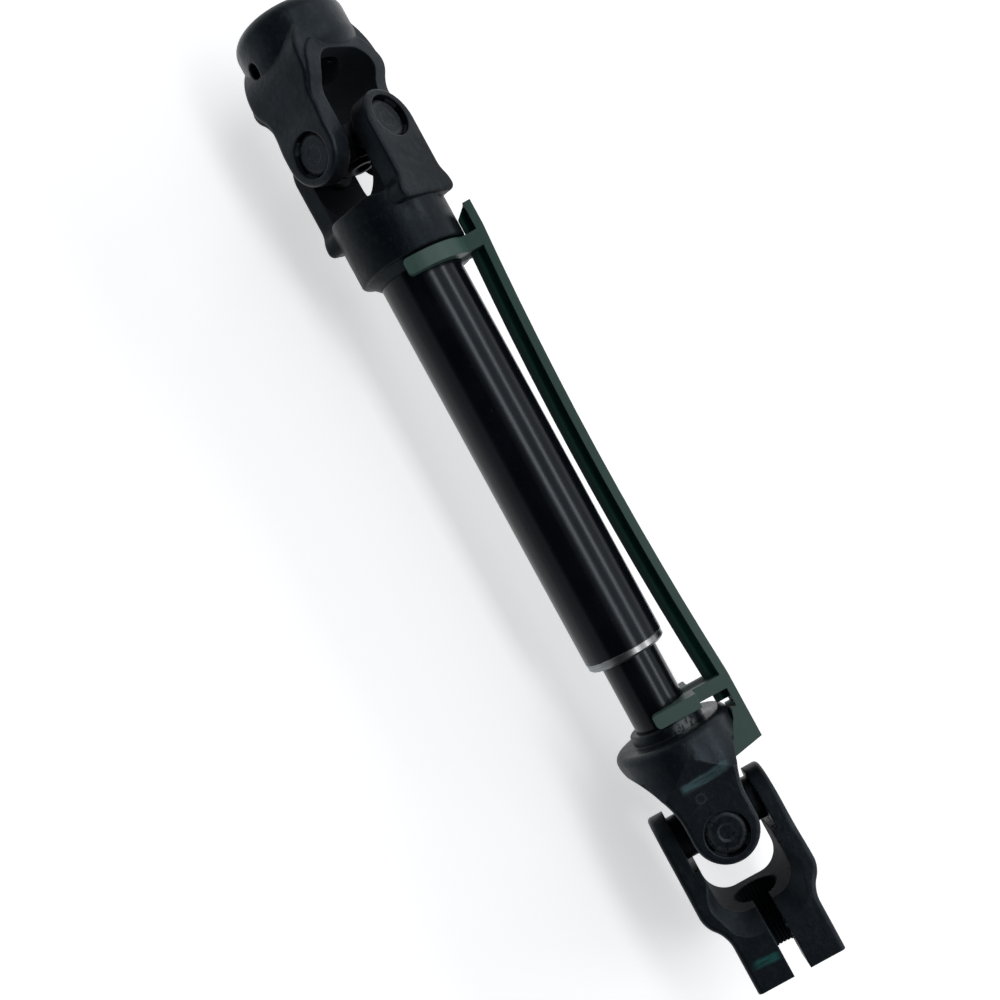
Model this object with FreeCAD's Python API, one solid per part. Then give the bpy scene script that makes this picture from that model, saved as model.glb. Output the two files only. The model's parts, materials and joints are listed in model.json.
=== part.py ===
import FreeCAD, Part
import math
import os

V = FreeCAD.Vector
ORIGIN = V(0, 0, 0)
AXIS_X = V(1, 0, 0)
AXIS_Y = V(0, 1, 0)
AXIS_Z = V(0, 0, 1)

# The shaft line runs along +X, from the top face of the upper yoke's socket at x = 0.
joint_span = 270.5
upper_joint_x = 50.9
lower_joint_x = upper_joint_x + joint_span

# Pin directions of the four yokes, in degrees about the shaft line, from +Z towards +Y
upper_yoke_turn = -40.0
tube_yoke_turn = upper_yoke_turn + 90.0
lower_shaft_yoke_turn = 0.0
clamp_yoke_turn = lower_shaft_yoke_turn - 90.0

# Clearances
running_gap = 0.03
end_gap = 0.15
slide_gap = 0.15
loose_gap = 0.3
cut_over = 1.0
near = 0.01
same_point = 1e-6
far = 1000.0

# Bearing cup, needle rollers and seal
cup_r = 8.0
cup_wall = 1.3
cup_floor = 1.6
cup_face = 20.2
cup_mouth = 11.4
cup_corner_r = 2.4
cup_dimple_r = 2.65
cup_dimple_depth = 0.5
roller_r = 1.25
roller_count = 12
roller_length = 6.3
seal_width = 1.4
seal_r = 7.7
seal_lip = 0.6
seal_slope = 0.4
seal_overlap = 0.3

# Cross
shoulder_r = 5.6
hub_r = 8.6
hub_half = 6.2
boss_r = 5.2
boss_half = 7.6
boss_dimple_r = 3.6
boss_dimple_depth = 1.4
boss_dimple_taper = 1.0
shoulder_gap = 0.4
trunnion_chamfer = 0.5

# Ears, the same on all four yokes
ear_r = 12.0
ear_reach = 10.7
ear_outer = 22.0
ear_inner = 14.2
ear_edge_r = 1.5
stake_count = 4
stake_sweep = 34.0
stake_width = 0.9
stake_height = 1.1
stake_root = 0.3

# Upper yoke
socket_r = 21.0
socket_length = 20.5
socket_edge_r = 5.5
socket_foot_r = 7.0
arch_outer_r = 20.8
arch_bend_x = 26.5
arch_half = 15.6
upper_pad_end = 4.0
upper_arm_start = 15.9
upper_throat = 30.2
upper_throat_corner_r = 9.0
rim_width = 5.9
rim_height = 1.2
rim_lead = 2.0
rim_edge_r = 0.6
column_bore_r = 11.0
column_bore_chamfer = 0.4
cross_hole_r = 2.9
cross_hole_depth = 14.3
cross_hole_tilt = 17.0

# Tube yoke
tube_throat = 22.7
tube_arm_start = 19.0
tube_arm_end = 27.5
tube_arm_foot = 30.2
tube_arm_half = 14.3
tube_foot_corner_r = 2.5
saddle_start = 20.5
saddle_end = 25.5
collar_r = 20.6
collar_end = 46.3
collar_edge_r = 1.2
tube_socket_depth = 17.2
floor_hole_r = 8.0
weld_leg = 3.6

# Outer tube
tube_r = 15.0
tube_band_length = 3.0
tube_band_step = 0.25
tube_chamfer = 0.8
tube_mouth_length = 3.0
exposed_shaft = 21.2

# Splines between the inner shaft, its plastic sleeve and the tube
spline_count = 18
spline_tip_r = 11.3
spline_root_r = 10.05
spline_tip_half_angle = 3.2
spline_root_half_angle = 5.4
sleeve_wall = 0.7
sleeve_length = 55.0
shaft_overrun = 2.0
pull_out = 35.0
pull_out_margin = 5.0
tube_spline_lead = 20.0

# Inner shaft and lower shaft yoke
shaft_r = 10.6
shaft_end_chamfer = 1.0
neck_r = 13.5
neck_height = 4.1
neck_edge_r = 0.9
disc_r = 22.0
disc_top = 35.6
disc_edge_r = 2.8
disc_bottom = 29.0
disc_taper = 1.0
disc_crown = 0.25
disc_margin = 0.2
disc_blend = 21.0
flank_mid_x = 20.3
flank_mid_half = 14.9
flank_end_x = 9.0
lower_throat = 25.5
shaft_end_setback = 0.4

# Clamp yoke
clamp_outer = 22.4
clamp_throat = 29.3
clamp_corner_r = 9.0
clamp_arm_start = 8.0
clamp_arm_end = 24.0
clamp_strap_half = 17.0
clamp_bend_x = 23.0
clamp_block_x = 36.5
clamp_block_half = 16.8
clamp_block_back = 14.5
clamp_block_front = 20.0
clamp_end = 54.1
clamp_edge_r = 1.6
clamp_flare = 3.5
clamp_relief = 16.2
clamp_relief_end = 9.5
slot_width = 6.3
gear_bore_r = 8.2
serration_root_r = 8.85
serration_count = 36
serration_crest_half_angle = 2.6
serration_root_half_angle = 0.8
pinch_hole_r = 4.25
pinch_hole_x = 44.5
pinch_hole_rise = 12.7

# Retaining clip
clip_end_y = 27.6
clip_bow = 2.9
clip_width = 8.0
clip_rib = 3.0
clip_rib_half = 6.5
clip_web_half = 1.6
clip_tip_lead = 9.5
clip_tip_slant = 3.5
upper_fork_gap = 0.8
upper_fork_thickness = 6.0
upper_fork_wall = 4.2
upper_fork_reach = 4.0
fork_tip_r = 1.6
lower_fork_thickness = 5.2
lower_fork_wall = 3.8
lower_fork_reach = 3.6
lower_fork_flat = 13.5
foot_end_reach = 19.6
foot_slant = 2.5
foot_top_reach = 33.0
foot_inner_y = 14.7

# Worked out from the values above
cup_inner_r = cup_r - cup_wall
roller_pitch_r = cup_inner_r - running_gap - roller_r
trunnion_r = roller_pitch_r - roller_r - running_gap
trunnion_end = cup_face - cup_floor - end_gap
roller_end = cup_face - cup_floor - end_gap
shoulder_end = cup_mouth - shoulder_gap
tube_start_x = upper_joint_x + collar_end - tube_socket_depth
collar_end_x = upper_joint_x + collar_end
ear_centre_x = ear_r - ear_reach
disc_edge_x = disc_top - disc_edge_r
disc_lower_r = disc_r - disc_taper
neck_reach = disc_top + neck_height
neck_top_x = lower_joint_x - neck_reach
lower_fork_end_x = neck_top_x - loose_gap
lower_fork_start_x = lower_fork_end_x - lower_fork_thickness
tube_end_x = lower_fork_start_x - exposed_shaft
sleeve_tip_r = spline_tip_r + sleeve_wall
sleeve_root_r = spline_root_r + sleeve_wall
tube_root_r = sleeve_tip_r + slide_gap
tube_crest_r = sleeve_root_r + slide_gap
sleeve_end_x = tube_end_x - pull_out - pull_out_margin
sleeve_start_x = sleeve_end_x - sleeve_length
shaft_end_x = lower_joint_x - lower_throat - shaft_end_setback


def line(a, b):
    return Part.LineSegment(a, b).toShape()


def arc(a, middle, b):
    return Part.Arc(a, middle, b).toShape()


def on_circle(centre_x, centre_y, radius, degrees):
    angle = math.radians(degrees)
    return V(centre_x + radius * math.cos(angle), centre_y + radius * math.sin(angle), 0)


def chain(points):
    """Straight edges through the points, in order."""
    return [line(a, b) for a, b in zip(points, points[1:]) if a.distanceToPoint(b) > same_point]


def face_of(edges):
    return Part.Face(Part.Wire(Part.__sortEdges__(edges)))


def s_bend(x0, y0, x1, y1):
    """Two equal arcs that leave one point and reach the other parallel to x."""
    run = x1 - x0
    rise = y1 - y0
    side = 1 if rise > 0 else -1
    radius = (run * run + rise * rise) / (4 * abs(rise))
    half_turn = math.atan2(abs(rise), abs(run))
    step = math.copysign(radius * math.sin(half_turn), run)
    first = V(x0 + step, y0 + side * radius * (1 - math.cos(half_turn)), 0)
    middle = V((x0 + x1) / 2, (y0 + y1) / 2, 0)
    second = V(x0 + x1 - first.x, y0 + y1 - first.y, 0)
    return [arc(V(x0, y0, 0), first, middle), arc(middle, second, V(x1, y1, 0))]


def mirrored_face(half_edges):
    """A face from the edges of its y > 0 half and their mirror images."""
    other = [edge.mirror(ORIGIN, AXIS_Y) for edge in half_edges]
    return face_of(half_edges + other)


def about_shaft(points_or_edges):
    """Turns a closed half outline, drawn in x and y, about the shaft line."""
    return face_of(points_or_edges).revolve(ORIGIN, AXIS_X, 360)


def rod(radius, x0, x1):
    return Part.makeCylinder(radius, x1 - x0, V(x0, 0, 0), AXIS_X)


def bar(x0, x1, y0, y1, z0, z1):
    return Part.makeBox(x1 - x0, y1 - y0, z1 - z0, V(x0, y0, z0))


def across(face_xy, half):
    """Thickens a face drawn in x and y to both sides, along z."""
    moved = face_xy.copy()
    moved.translate(V(0, 0, -half))
    return moved.extrude(V(0, 0, 2 * half))


def turned(shape, degrees):
    copy = shape.copy()
    copy.rotate(ORIGIN, AXIS_X, degrees)
    return copy


def toothed_rod(low_r, high_r, low_half, high_half, count, x0, x1):
    """A rod with straight-sided teeth. The half angles are those of one tooth, in degrees."""
    pitch = 360.0 / count
    edges = []
    for i in range(count):
        turn = i * pitch
        a = on_circle(0, 0, low_r, turn - low_half)
        b = on_circle(0, 0, high_r, turn - high_half)
        tip = on_circle(0, 0, high_r, turn)
        c = on_circle(0, 0, high_r, turn + high_half)
        d = on_circle(0, 0, low_r, turn + low_half)
        valley = on_circle(0, 0, low_r, turn + pitch / 2)
        after = on_circle(0, 0, low_r, turn + pitch - low_half)
        edges += [line(a, b), arc(b, tip, c), line(c, d), arc(d, valley, after)]
    blank = face_of(edges).extrude(V(0, 0, x1 - x0))
    blank.rotate(ORIGIN, AXIS_Y, 90)
    blank.translate(V(x0, 0, 0))
    return blank


def placed(shape, joint_x, way, turn):
    """From a yoke's own frame, with its joint at the origin, its base along +x and its pin along z."""
    angle = math.radians(turn)
    s = math.sin(angle)
    c = math.cos(angle)
    matrix = FreeCAD.Matrix(
        way, 0, 0, joint_x,
        0, way * c, s, 0,
        0, -way * s, c, 0,
        0, 0, 0, 1,
    )
    return shape.transformed(matrix, True)


def round_edges(shape):
    """The edges that close on themselves."""
    return [edge for edge in shape.Edges if edge.Closed]


def edges_at(shape, low, high):
    """The edges whose whole length lies between the two corners of a box."""
    found = []
    for edge in shape.Edges:
        box = edge.BoundBox
        inside_x = box.XMin >= low.x and box.XMax <= high.x
        inside_y = box.YMin >= low.y and box.YMax <= high.y
        if inside_x and inside_y and box.ZMin >= low.z and box.ZMax <= high.z:
            found.append(edge)
    return found


def round_faces(shape, outer, radius, x_limit):
    """Rounds the outline of both flat ear faces, up to x_limit."""
    edges = edges_at(shape, V(-far, -far, outer - near), V(x_limit, far, outer + near))
    edges += edges_at(shape, V(-far, -far, -outer - near), V(x_limit, far, -outer + near))
    return shape.makeFillet(radius, edges)


def throat_outline(inner, throat, corner_r):
    """The opening between two arms, with a rounded end at the throat."""
    x0 = -ear_reach - cut_over
    x1 = throat - corner_r
    y1 = inner - corner_r
    edges = chain([V(x1, inner, 0), V(x0, inner, 0), V(x0, -inner, 0), V(x1, -inner, 0)])
    edges.append(arc(V(x1, -inner, 0), on_circle(x1, -y1, corner_r, -45), V(throat, -y1, 0)))
    if y1 > 0:
        edges.append(line(V(throat, -y1, 0), V(throat, y1, 0)))
    edges.append(arc(V(throat, y1, 0), on_circle(x1, y1, corner_r, 45), V(x1, inner, 0)))
    return face_of(edges)


def throat_cutter(inner, throat, corner_r, half):
    """The space between two arms, open at both sides of the yoke."""
    cutter = across(throat_outline(inner, throat, corner_r), half)
    cutter.rotate(ORIGIN, AXIS_X, 90)
    return cutter


def throat_flare(inner, throat, corner_r, start, end):
    """Widens a throat at 45 degrees from start to end, measured across the yoke, on both faces."""
    grown = end - start
    low = throat_outline(inner, throat, corner_r).OuterWire
    high = throat_outline(inner + grown, throat + grown, corner_r + grown).OuterWire
    low.translate(V(0, 0, start))
    high.translate(V(0, 0, end))
    front = Part.makeLoft([low, high], True, True)
    front.rotate(ORIGIN, AXIS_X, 90)
    return [front, front.mirror(ORIGIN, AXIS_Y)]


def ear_arc(centre_x, radius):
    """The y > 0 half of an ear's round end."""
    end = V(centre_x, radius, 0)
    return [arc(V(centre_x - radius, 0, 0), on_circle(centre_x, 0, radius, 135), end)]


def stake_marks():
    """Lips of metal pushed over the cup's edge, at both ears."""
    lips = []
    start_turn = 45.0 - stake_sweep / 2
    fall = cup_corner_r - math.sqrt(cup_corner_r ** 2 - (cup_corner_r - stake_width) ** 2)
    tip_z = cup_face - fall + running_gap
    for i in range(stake_count):
        inner = V(cup_r - stake_width, 0, tip_z)
        foot = V(cup_r + stake_root, 0, tip_z)
        top = V(cup_r + stake_root, 0, cup_face + stake_height)
        wire = Part.makePolygon([inner, foot, top, inner])
        lip = Part.Face(wire).revolve(ORIGIN, AXIS_Z, stake_sweep)
        lip.rotate(ORIGIN, AXIS_Z, start_turn + i * 360.0 / stake_count)
        lips.append(lip)
        lips.append(lip.mirror(ORIGIN, AXIS_Z))
    return lips


def bored_ears(yoke, outer):
    """Bores both ears for their cups and stakes the cups in."""
    through = Part.makeCylinder(cup_r, 2 * outer + 2 * cut_over, V(0, 0, -outer - cut_over), AXIS_Z)
    bored = yoke.cut(through)
    lips = stake_marks()
    return bored.fuse(lips).removeSplitter()


def arch_outline(start_x, end_x, base_half, reach, corner_r):
    """Plan of two arms that widen from the ear to the base, with its corners rounded."""
    half = ear_arc(ear_centre_x, ear_r)
    half += chain([V(ear_centre_x, ear_r, 0), V(start_x, ear_r, 0)])
    half += s_bend(start_x, ear_r, end_x, base_half)
    centre_x = reach - corner_r
    centre_y = base_half - corner_r
    half += chain([V(end_x, base_half, 0), V(centre_x, base_half, 0)])
    if corner_r > 0:
        turn_point = on_circle(centre_x, centre_y, corner_r, 45)
        half.append(arc(V(centre_x, base_half, 0), turn_point, V(reach, centre_y, 0)))
    half += chain([V(reach, centre_y, 0), V(reach, 0, 0)])
    return mirrored_face(half)


def arch_profile():
    """The upper yoke's arms and its round top, seen across the pin."""
    start_x = -ear_reach - cut_over
    half = chain([V(start_x, 0, 0), V(start_x, ear_outer, 0), V(upper_pad_end, ear_outer, 0)])
    half += s_bend(upper_pad_end, ear_outer, upper_arm_start, arch_outer_r)
    half += chain([V(upper_arm_start, arch_outer_r, 0), V(arch_bend_x, arch_outer_r, 0)])
    top = V(arch_bend_x + arch_outer_r, 0, 0)
    turn_point = on_circle(arch_bend_x, 0, arch_outer_r, 45)
    half.append(arc(V(arch_bend_x, arch_outer_r, 0), turn_point, top))
    return mirrored_face(half)


def lengthwise_edges(shape):
    """The edges that run along x, at least in part."""
    return [edge for edge in shape.Edges if edge.BoundBox.XLength > near]


def make_arch():
    """The upper yoke's arms and round top in one, still without the opening."""
    beyond = arch_bend_x + arch_outer_r + cut_over
    plan = arch_outline(upper_arm_start, arch_bend_x, arch_half, beyond, 0)
    side = across(arch_profile(), 2 * arch_half)
    side.rotate(ORIGIN, AXIS_X, 90)
    arch = across(plan, 2 * ear_outer).common(side)
    return arch.makeFillet(ear_edge_r, lengthwise_edges(arch))


def make_rim():
    """The raised band round the upper yoke's arch, as a plate that the opening is cut from."""
    inner = ear_inner + rim_width
    throat = upper_throat + rim_width
    corner_r = upper_throat_corner_r + rim_width
    half = arch_half + rim_height
    plan = arch_outline(upper_arm_start - rim_lead, arch_bend_x, half, throat + cut_over, 0)
    band = throat_cutter(inner, throat, corner_r, 2 * half)
    rim = across(plan, ear_outer).common(band)
    return rim.makeFillet(rim_edge_r, lengthwise_edges(rim))


def make_socket():
    socket = rod(socket_r, upper_joint_x - socket_length, upper_joint_x)
    top = [edge for edge in round_edges(socket) if edge.BoundBox.XMin > upper_joint_x - near]
    socket = socket.makeFillet(socket_edge_r, top)
    foot_x = upper_joint_x - socket_length
    foot = [edge for edge in round_edges(socket) if edge.BoundBox.XMax < foot_x + near]
    return socket.makeFillet(socket_foot_r, foot)


def make_upper_yoke():
    yoke = make_arch().fuse([make_rim(), make_socket()])
    yoke = yoke.cut(throat_cutter(ear_inner, upper_throat, upper_throat_corner_r, 2 * socket_r))
    yoke = yoke.cut(rod(column_bore_r, 0, upper_joint_x + cut_over))
    mouth = Part.makeCone(
        column_bore_r, column_bore_r + column_bore_chamfer, column_bore_chamfer,
        V(upper_joint_x - column_bore_chamfer, 0, 0), AXIS_X,
    )
    yoke = yoke.cut(mouth)
    hole_x = upper_joint_x - cross_hole_depth
    cross_hole = Part.makeCylinder(cross_hole_r, 4 * socket_r, V(hole_x, 0, -2 * socket_r), AXIS_Z)
    yoke = yoke.cut(turned(cross_hole, -cross_hole_tilt))
    return bored_ears(yoke, ear_outer)


def make_tube_yoke():
    plan = arch_outline(tube_arm_start, tube_arm_end, tube_arm_half, tube_arm_foot, tube_foot_corner_r)
    arms = round_faces(across(plan, ear_outer), ear_outer, ear_edge_r, tube_arm_foot + cut_over)
    collar = rod(collar_r, saddle_start, collar_end)
    collar = collar.makeFillet(collar_edge_r, round_edges(collar))
    saddle = arch_outline(saddle_start, saddle_end, collar_r + cut_over, collar_end + cut_over, 0)
    collar = collar.common(across(saddle, 2 * collar_r))
    yoke = arms.fuse(collar)
    weld = Part.makeCone(tube_r + weld_leg, tube_r, weld_leg, V(collar_end, 0, 0), AXIS_X)
    yoke = yoke.fuse(weld)
    yoke = yoke.cut(throat_cutter(ear_inner, tube_throat, ear_inner, 2 * collar_r))
    yoke = yoke.cut(rod(tube_r, collar_end - tube_socket_depth, collar_end + weld_leg + cut_over))
    yoke = yoke.cut(rod(floor_hole_r, 0, collar_end))
    return bored_ears(yoke, ear_outer)


def flank_outline(extra):
    """Plan of the lower shaft yoke: ear, hollow flank and shoulder, a little wider than its envelope."""
    half = ear_arc(ear_centre_x, ear_r + extra)
    half += chain([V(ear_centre_x, ear_r + extra, 0), V(flank_end_x, ear_r + extra, 0)])
    low = V(flank_end_x, ear_r + extra, 0)
    high = V(disc_bottom, disc_lower_r + extra, 0)
    half.append(arc(low, V(flank_mid_x, flank_mid_half + extra, 0), high))
    edge = V(disc_edge_x, disc_r + disc_margin + extra, 0)
    crown = V((disc_bottom + disc_edge_x) / 2, (disc_lower_r + disc_r) / 2 + disc_crown + extra, 0)
    half.append(arc(high, crown, edge))
    half += chain([edge, V(disc_top + cut_over, edge.y, 0), V(disc_top + cut_over, 0, 0)])
    return mirrored_face(half)


def shoulder_envelope():
    """Round envelope of the lower shaft yoke, from clear of its ears to the top of its shoulder."""
    start_x = -ear_reach - cut_over
    blend_x = disc_bottom - disc_blend
    corner_r = math.hypot(ear_outer, ear_r) + disc_r / 4
    edges = chain([V(start_x, 0, 0), V(start_x, corner_r, 0), V(blend_x, corner_r, 0)])
    edges += s_bend(blend_x, corner_r, disc_bottom, disc_r)
    edges += chain([V(disc_bottom, disc_r, 0), V(disc_edge_x, disc_r, 0)])
    top = V(disc_top, disc_r - disc_edge_r, 0)
    turn_point = on_circle(disc_edge_x, disc_r - disc_edge_r, disc_edge_r, 45)
    edges.append(arc(V(disc_edge_x, disc_r, 0), turn_point, top))
    edges += chain([top, V(disc_top, 0, 0), V(start_x, 0, 0)])
    return about_shaft(edges)


def make_lower_shaft_yoke():
    blank = round_faces(across(flank_outline(0), ear_outer), ear_outer, ear_edge_r, disc_bottom + near)
    neck = rod(neck_r, disc_bottom, neck_reach)
    ring = [edge for edge in round_edges(neck) if edge.BoundBox.XMin > neck_reach - near]
    neck = neck.makeFillet(neck_edge_r, ring)
    yoke = blank.common(shoulder_envelope()).fuse(neck)
    yoke = yoke.cut(throat_cutter(ear_inner, lower_throat, ear_inner, 2 * disc_r))
    yoke = yoke.cut(rod(shaft_r, 0, neck_reach + cut_over))
    return bored_ears(yoke, ear_outer)


def clamp_side():
    """Arms and block of the clamp yoke, seen along its strap's width."""
    start_x = -ear_reach - cut_over
    half = chain([V(start_x, 0, 0), V(start_x, clamp_outer, 0), V(clamp_bend_x, clamp_outer, 0)])
    half += s_bend(clamp_bend_x, clamp_outer, clamp_block_x, clamp_block_half)
    half += chain([V(clamp_block_x, clamp_block_half, 0), V(clamp_end, clamp_block_half, 0)])
    half += chain([V(clamp_end, clamp_block_half, 0), V(clamp_end, 0, 0)])
    return mirrored_face(half)


def clamp_plan():
    """Ears and strap of the clamp yoke, seen along its pin. Its slot opens to y > 0."""
    edges = [arc(V(ear_centre_x, -ear_r, 0), V(-ear_reach, 0, 0), V(ear_centre_x, ear_r, 0))]
    edges += chain([V(ear_centre_x, ear_r, 0), V(clamp_arm_start, ear_r, 0)])
    edges += s_bend(clamp_arm_start, ear_r, clamp_arm_end, clamp_strap_half)
    edges += s_bend(clamp_arm_end, clamp_strap_half, clamp_block_x, clamp_block_front)
    edges += chain([V(clamp_block_x, clamp_block_front, 0), V(clamp_end, clamp_block_front, 0)])
    edges += chain([V(clamp_end, clamp_block_front, 0), V(clamp_end, -clamp_block_back, 0)])
    edges += chain([V(clamp_end, -clamp_block_back, 0), V(clamp_block_x, -clamp_block_back, 0)])
    edges += s_bend(clamp_block_x, -clamp_block_back, clamp_arm_end, -clamp_strap_half)
    edges += s_bend(clamp_arm_end, -clamp_strap_half, clamp_arm_start, -ear_r)
    edges += chain([V(clamp_arm_start, -ear_r, 0), V(ear_centre_x, -ear_r, 0)])
    return face_of(edges)


def make_clamp_yoke():
    side = across(clamp_side(), 2 * clamp_strap_half)
    side.rotate(ORIGIN, AXIS_X, 90)
    blank = across(clamp_plan(), 2 * clamp_outer).common(side)
    rim = edges_at(blank, V(-far, -far, clamp_outer - near), V(clamp_bend_x + near, far, far))
    rim += edges_at(blank, V(-far, -far, -far), V(clamp_bend_x + near, far, -clamp_outer + near))
    blank = blank.makeFillet(clamp_edge_r, [edge for edge in rim if edge.BoundBox.ZLength < near])
    yoke = blank.cut(throat_cutter(ear_inner, clamp_throat, clamp_corner_r, 2 * clamp_strap_half))
    flare_start = clamp_strap_half - clamp_flare
    flare_end = clamp_block_front + cut_over
    yoke = yoke.cut(throat_flare(ear_inner, clamp_throat, clamp_corner_r, flare_start, flare_end))
    relief = bar(
        -ear_reach - cut_over, clamp_relief_end, -2 * ear_r, 2 * ear_r, -clamp_relief, clamp_relief
    )
    yoke = yoke.cut(relief)
    serrated = toothed_rod(
        gear_bore_r, serration_root_r, serration_crest_half_angle, serration_root_half_angle,
        serration_count, clamp_throat - cut_over, clamp_end + cut_over,
    )
    yoke = yoke.cut(serrated)
    slot = bar(
        0, clamp_end + cut_over, 0, clamp_block_front + cut_over, -slot_width / 2, slot_width / 2
    )
    yoke = yoke.cut(slot)
    pinch = Part.makeCylinder(
        pinch_hole_r, 4 * clamp_block_half, V(pinch_hole_x, pinch_hole_rise, -2 * clamp_block_half), AXIS_Z
    )
    yoke = yoke.cut(pinch)
    return bored_ears(yoke, clamp_outer)


def make_cup():
    """One bearing cup, closed at its outer end, on the pin line of the +z ear."""
    floor_z = cup_face - cup_floor
    corner = cup_corner_r
    outline = [
        V(0, 0, floor_z), V(cup_inner_r, 0, floor_z), V(cup_inner_r, 0, cup_mouth),
        V(cup_r, 0, cup_mouth), V(cup_r, 0, cup_face - corner),
    ]
    edges = chain(outline)
    bend = corner * (1 - math.sqrt(0.5))
    edges.append(arc(outline[-1], V(cup_r - bend, 0, cup_face - bend), V(cup_r - corner, 0, cup_face)))
    dimple_z = cup_face - cup_dimple_depth
    edges += chain([
        V(cup_r - corner, 0, cup_face), V(cup_dimple_r + cup_dimple_depth, 0, cup_face),
        V(cup_dimple_r, 0, dimple_z), V(0, 0, dimple_z), V(0, 0, floor_z),
    ])
    return face_of(edges).revolve(ORIGIN, AXIS_Z, 360)


def make_rollers():
    """The full ring of needle rollers of one cup."""
    start = roller_end - roller_length
    ring = []
    for i in range(roller_count):
        spot = on_circle(0, 0, roller_pitch_r, i * 360.0 / roller_count)
        ring.append(Part.makeCylinder(roller_r, roller_length, V(spot.x, spot.y, start), AXIS_Z))
    return ring


def make_seal():
    """The lip seal that closes the mouth of one cup round the cross's shoulder."""
    low = cup_mouth - seal_width
    inner = shoulder_r + loose_gap
    outline = [
        V(inner, 0, low), V(seal_r, 0, low + seal_slope), V(seal_r, 0, cup_mouth),
        V(cup_inner_r - seal_overlap, 0, cup_mouth), V(inner, 0, low + seal_lip), V(inner, 0, low),
    ]
    return face_of(chain(outline)).revolve(ORIGIN, AXIS_Z, 360)


def make_cross():
    """Four trunnions on one hub, with the shaft line along x."""
    hub = rod(hub_r, -hub_half, hub_half)
    hub = hub.fuse(rod(boss_r, -boss_half, boss_half))
    for direction in (AXIS_Y, AXIS_Z):
        shoulder = Part.makeCylinder(shoulder_r, 2 * shoulder_end, direction * -shoulder_end, direction)
        trunnion = Part.makeCylinder(trunnion_r, 2 * trunnion_end, direction * -trunnion_end, direction)
        trunnion = trunnion.makeChamfer(trunnion_chamfer, round_edges(trunnion))
        hub = hub.fuse([shoulder, trunnion])
    for side in (-1, 1):
        start = V(side * boss_half, 0, 0)
        inward = V(-side, 0, 0)
        floor_r = boss_dimple_r - boss_dimple_taper
        dimple = Part.makeCone(boss_dimple_r, floor_r, boss_dimple_depth, start, inward)
        hub = hub.cut(dimple)
    return hub.removeSplitter()


def make_outer_tube():
    tube = rod(tube_r, tube_start_x, tube_end_x)
    outline = [
        V(tube_end_x - tube_band_length, tube_r + cut_over, 0),
        V(tube_end_x - tube_band_length, tube_r, 0),
        V(tube_end_x - tube_band_length + tube_band_step, tube_r - tube_band_step, 0),
        V(tube_end_x - tube_chamfer, tube_r - tube_band_step, 0),
        V(tube_end_x, tube_r - tube_band_step - tube_chamfer, 0),
        V(tube_end_x + cut_over, tube_r - tube_band_step - tube_chamfer, 0),
        V(tube_end_x + cut_over, tube_r + cut_over, 0),
        V(tube_end_x - tube_band_length, tube_r + cut_over, 0),
    ]
    tube = tube.cut(about_shaft(chain(outline)))
    spline_start = sleeve_start_x - tube_spline_lead
    plain = rod(tube_root_r, tube_start_x - cut_over, spline_start)
    mouth = rod(tube_root_r, tube_end_x - tube_mouth_length, tube_end_x + cut_over)
    low_half, high_half = widened_tooth(tube_crest_r, tube_root_r)
    grooves = toothed_rod(
        tube_crest_r, tube_root_r, low_half, high_half, spline_count,
        spline_start - cut_over, tube_end_x - tube_mouth_length + cut_over,
    )
    return tube.cut([plain, mouth, grooves])


def widened_tooth(low_r, high_r):
    """Half angles of the tube's grooves: the sleeve's teeth with the sliding clearance at each flank."""
    low = sleeve_half_angle(spline_root_half_angle, spline_root_r, low_r) + math.degrees(slide_gap / low_r)
    high = sleeve_half_angle(spline_tip_half_angle, spline_tip_r, high_r) + math.degrees(slide_gap / high_r)
    return low, high


def sleeve_half_angle(shaft_half_angle, shaft_radius, radius):
    """Half angle of a sleeve tooth, which is the shaft's tooth with the sleeve's wall on each flank."""
    return shaft_half_angle * shaft_radius / radius + math.degrees(sleeve_wall / radius) / 2


def make_inner_shaft():
    smooth_start = sleeve_end_x + shaft_overrun
    splined = toothed_rod(
        spline_root_r, spline_tip_r, spline_root_half_angle, spline_tip_half_angle, spline_count,
        sleeve_start_x - shaft_overrun, smooth_start,
    )
    smooth = rod(shaft_r, smooth_start, shaft_end_x)
    shaft = splined.fuse(smooth)
    tip_x = sleeve_start_x - shaft_overrun
    cone_r = spline_tip_r + shaft_end_chamfer
    outside = rod(cone_r + cut_over, tip_x - cut_over, tip_x + 2 * shaft_end_chamfer)
    chamfer = Part.makeCone(
        cone_r - 2 * shaft_end_chamfer, cone_r, 2 * shaft_end_chamfer, V(tip_x, 0, 0), AXIS_X
    )
    return shaft.cut(outside.cut(chamfer))


def make_spline_sleeve():
    outer = toothed_rod(
        sleeve_root_r, sleeve_tip_r,
        sleeve_half_angle(spline_root_half_angle, spline_root_r, sleeve_root_r),
        sleeve_half_angle(spline_tip_half_angle, spline_tip_r, sleeve_tip_r),
        spline_count, sleeve_start_x, sleeve_end_x,
    )
    inner = toothed_rod(
        spline_root_r, spline_tip_r, spline_root_half_angle, spline_tip_half_angle, spline_count,
        sleeve_start_x - cut_over, sleeve_end_x + cut_over,
    )
    return outer.cut(inner)


def bowed_edge(x0, x1, y_end, bow):
    return arc(V(x0, y_end, 0), V((x0 + x1) / 2, y_end - bow, 0), V(x1, y_end, 0))


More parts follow.
